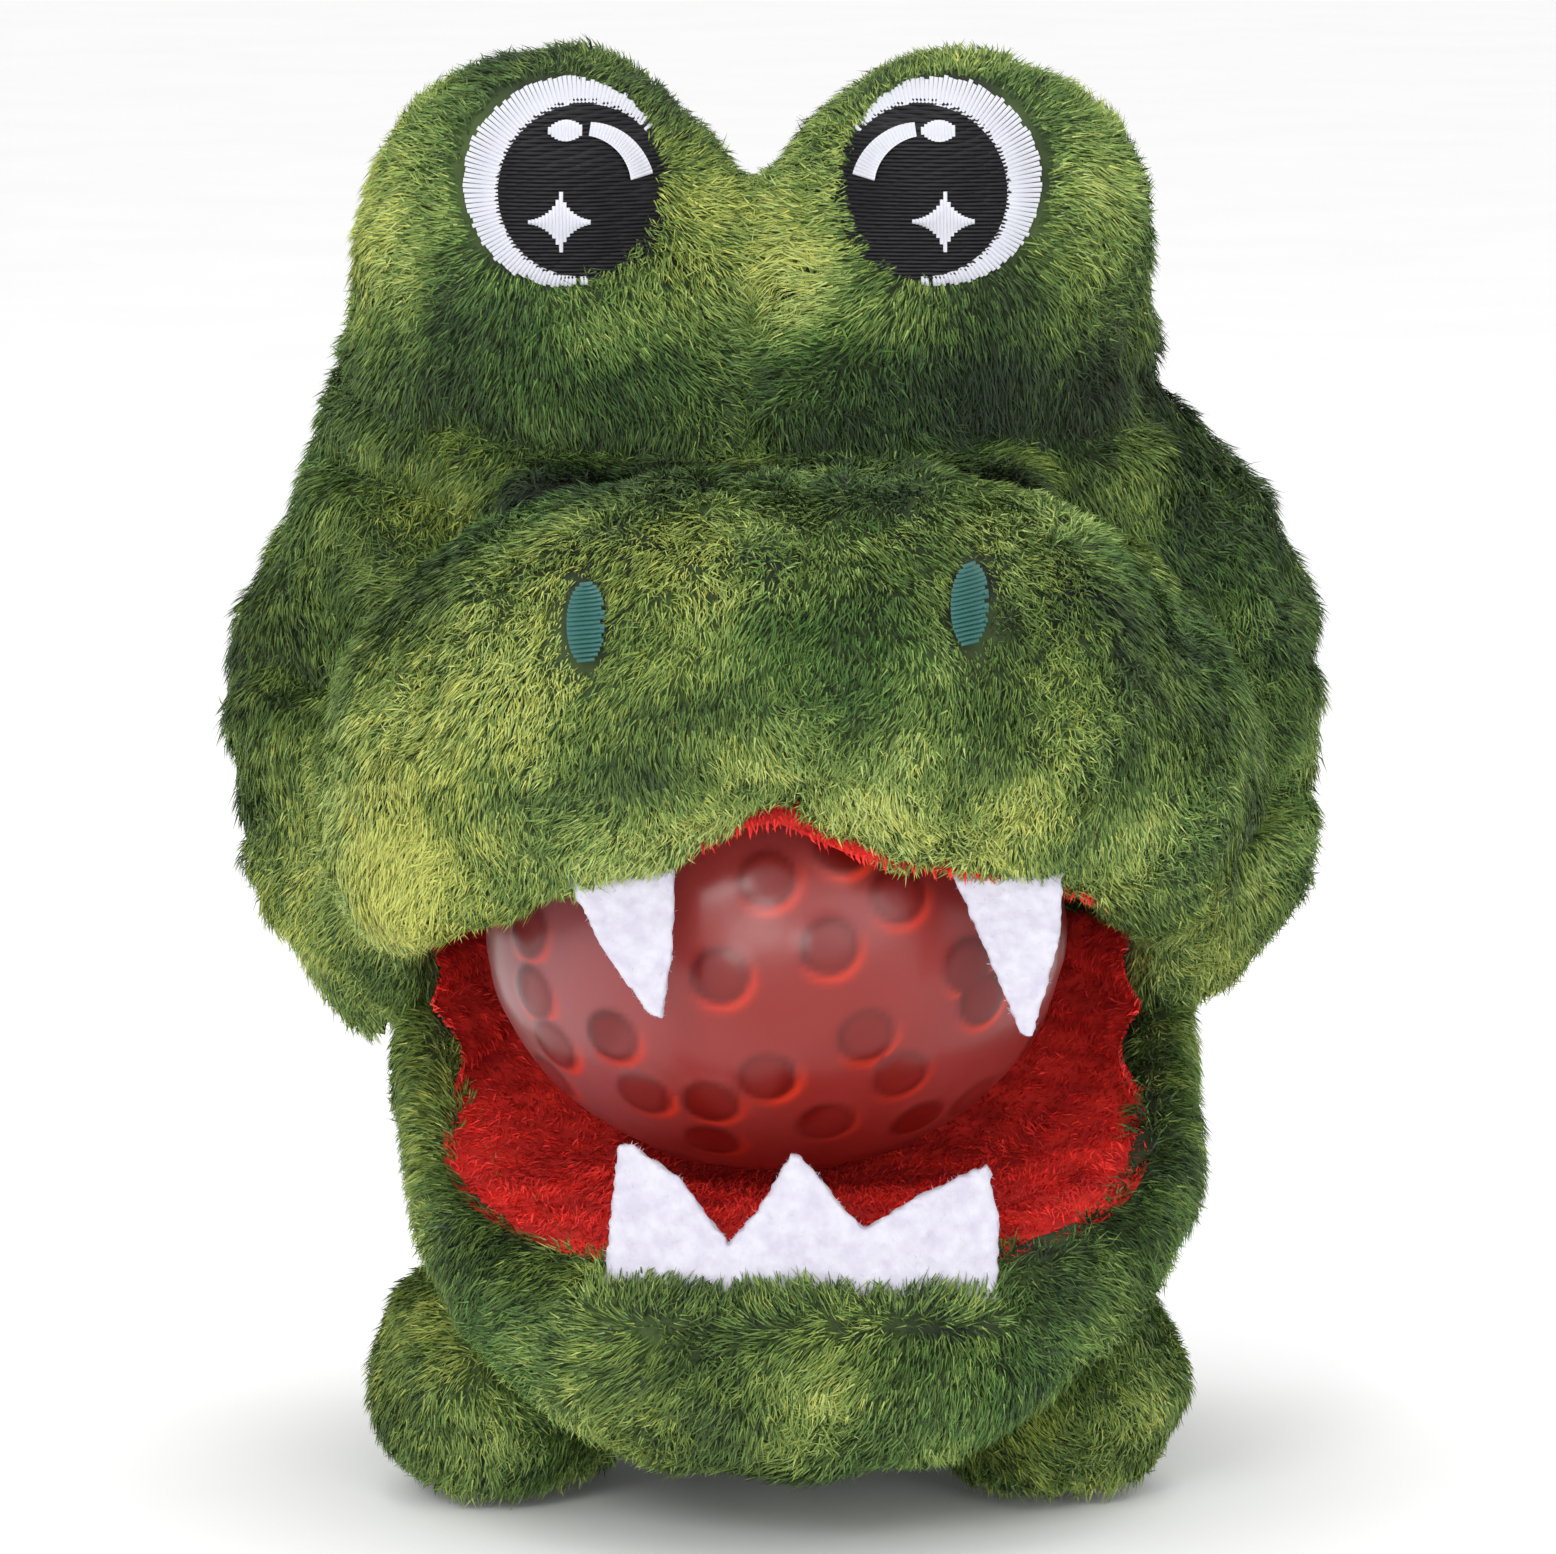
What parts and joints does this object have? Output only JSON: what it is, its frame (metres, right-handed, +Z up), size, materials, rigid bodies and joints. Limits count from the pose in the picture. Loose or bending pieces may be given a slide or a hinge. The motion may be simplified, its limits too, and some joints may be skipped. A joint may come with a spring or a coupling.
{
  "type": "moving mouth hand puppet",
  "caption": "Small plush crocodile hand puppet with a hinged mouth, felt teeth, embroidered eyes and a bead-filled squeeze ball held in the mouth.",
  "frame": {"origin": "on the floor under the middle of the sole's front tongue, on the face's middle line", "axes": "+Z up, -Y the way the face looks, +X to the puppet's left hand side as seen by the viewer's right"},
  "size_m": [0.112, 0.0987, 0.144],
  "materials": {
    "green_plush": "short pile",
    "fibre_filling": "loose fibre",
    "white_thread": "satin stitch",
    "black_thread": "satin stitch",
    "teal_thread": "satin stitch",
    "red_lining": "ribbed velour",
    "foam_stiffener": "foam sheet",
    "white_felt": "felt",
    "pocket_cloth": "woven",
    "label_tape": "satin tape",
    "hem_tape": "folded hem",
    "ball_skin": "frosted",
    "ball_water": "clear",
    "water_beads": "gloss",
    "ball_plug": "satin"
  },
  "bodies": {
    "sleeve": {"back_panel": "green_plush", "opening_hem": "hem_tape", "base_panel": "green_plush", "left_flank_panel": "green_plush", "left_flank_stuffing": "fibre_filling", "right_flank_panel": "green_plush", "right_flank_stuffing": "fibre_filling", "left_foot_skin": "green_plush", "left_foot_stuffing": "fibre_filling", "right_foot_skin": "green_plush", "right_foot_stuffing": "fibre_filling", "hinge_tape": "red_lining", "care_label": "label_tape"},
    "head": {"face_panel": "green_plush", "crown_panel": "green_plush", "crown_stuffing": "fibre_filling", "left_cheek_stuffing": "fibre_filling", "right_cheek_stuffing": "fibre_filling", "left_eye_bump_skin": "green_plush", "left_eye_bump_stuffing": "fibre_filling", "right_eye_bump_skin": "green_plush", "right_eye_bump_stuffing": "fibre_filling", "left_eye_white": "white_thread", "left_eye_black": "black_thread", "left_eye_highlights": "white_thread", "right_eye_white": "white_thread", "right_eye_black": "black_thread", "right_eye_highlights": "white_thread", "snout_skin": "green_plush", "snout_stuffing": "fibre_filling", "left_nostril": "teal_thread", "right_nostril": "teal_thread", "palate_lining": "red_lining", "palate_stiffener": "foam_stiffener", "left_fang": "white_felt", "right_fang": "white_felt", "finger_pocket": "pocket_cloth", "left_mouth_gusset": "red_lining", "right_mouth_gusset": "red_lining"},
    "lower_jaw": {"chin_skin": "green_plush", "chin_stuffing": "fibre_filling", "jaw_lining": "red_lining", "jaw_stiffener": "foam_stiffener", "lower_teeth": "white_felt", "thumb_pocket": "pocket_cloth", "jaw_under_panel": "green_plush"},
    "ball": {"ball_skin": "ball_skin", "ball_water": "ball_water", "water_beads": "water_beads", "ball_plug": "ball_plug"}
  },
  "joints": [
    {"name": "head_lift", "type": "hinge", "parent": "sleeve", "child": "head", "pos_m": [0, 0.017, 0.051], "axis": [-1, 0, 0], "range_deg": [0, 10], "deforming": ["left_mouth_gusset", "right_mouth_gusset"]},
    {"name": "jaw_close", "type": "hinge", "parent": "sleeve", "child": "lower_jaw", "pos_m": [0, 0.017, 0.051], "axis": [-1, 0, 0], "range_deg": [0, 16], "deforming": ["ball_skin", "ball_water", "water_beads", "ball_plug", "left_mouth_gusset", "right_mouth_gusset"]},
    {"name": "ball_push", "type": "slide", "parent": "sleeve", "child": "ball", "axis": [0, -1, 0], "range_m": [0, 0.004], "stiffness_N_per_m": 120}
  ]
}
